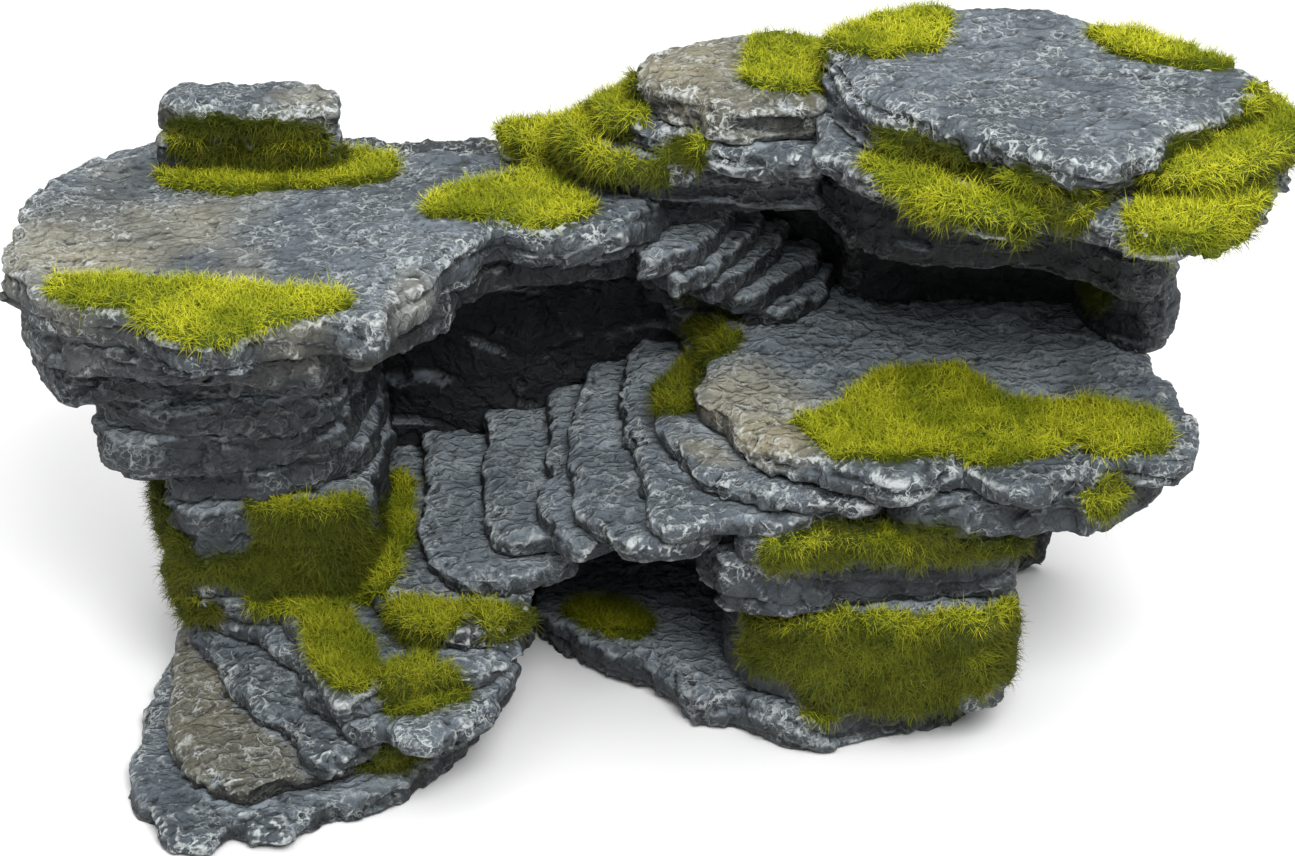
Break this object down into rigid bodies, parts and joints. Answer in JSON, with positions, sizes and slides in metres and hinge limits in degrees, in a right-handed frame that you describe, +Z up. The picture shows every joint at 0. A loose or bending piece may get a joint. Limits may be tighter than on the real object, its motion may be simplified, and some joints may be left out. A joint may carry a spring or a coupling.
{
  "type": "cave ornament",
  "caption": "Slate-look resin cave ornament with a stepped ramp, a deck, a platform, two caves, a crown ledge and patches of flocked moss.",
  "frame": {"origin": "on the resting plane, under the middle of the bounding box", "axes": "+X to the right along the length, from the platform to the crown; +Y to the back; +Z up"},
  "size_m": [0.318, 0.1497, 0.189],
  "materials": {
    "slate_resin": "matte",
    "shaded_slate_resin": "matte",
    "tan_slate_resin": "matte",
    "flocked_moss": "matte"
  },
  "bodies": {
    "root": {"back_wall": "shaded_slate_resin", "base_plate": "slate_resin", "cave_roof": "shaded_slate_resin", "corbel_1": "slate_resin", "corbel_2": "slate_resin", "corbel_3": "slate_resin", "corbel_4": "slate_resin", "corbel_5": "slate_resin", "crown": "slate_resin", "deck": "slate_resin", "foot_course_1": "slate_resin", "foot_course_2": "tan_slate_resin", "foot_course_3": "slate_resin", "foot_course_4": "slate_resin", "foot_course_5": "slate_resin", "foot_course_6": "shaded_slate_resin", "ledge_corbel": "shaded_slate_resin", "ledge_lower": "slate_resin", "ledge_upper": "slate_resin", "moss_base_plate": "flocked_moss", "moss_cave_mouth": "flocked_moss", "moss_crown_left": "flocked_moss", "moss_crown_right": "flocked_moss", "moss_deck": "flocked_moss", "moss_foot": "flocked_moss", "moss_ledge_left": "flocked_moss", "moss_ledge_right": "flocked_moss", "moss_pillar": "flocked_moss", "moss_platform_front": "flocked_moss", "moss_platform_middle": "flocked_moss", "moss_shoulder": "flocked_moss", "moss_small_stack": "flocked_moss", "moss_top_steps": "flocked_moss", "moss_tower_front": "flocked_moss", "moss_under_deck": "flocked_moss", "pillar": "slate_resin", "platform": "slate_resin", "ramp_tread_1": "slate_resin", "ramp_tread_2": "slate_resin", "ramp_tread_3": "slate_resin", "ramp_tread_4": "slate_resin", "ramp_tread_5": "slate_resin", "ramp_tread_6": "slate_resin", "rear_rock": "slate_resin", "recess_wall": "shaded_slate_resin", "shoulder": "tan_slate_resin", "small_stack_1": "slate_resin", "small_stack_2": "slate_resin", "stair_step_1": "slate_resin", "stair_step_2": "slate_resin", "stair_step_3": "slate_resin", "stair_step_4": "slate_resin", "stair_step_5": "slate_resin", "top_step_1": "slate_resin", "top_step_2": "slate_resin", "top_step_3": "slate_resin", "tower_course_1": "slate_resin", "tower_course_2": "slate_resin", "tower_course_3": "slate_resin", "tower_course_4": "slate_resin"}
  },
  "joints": []
}
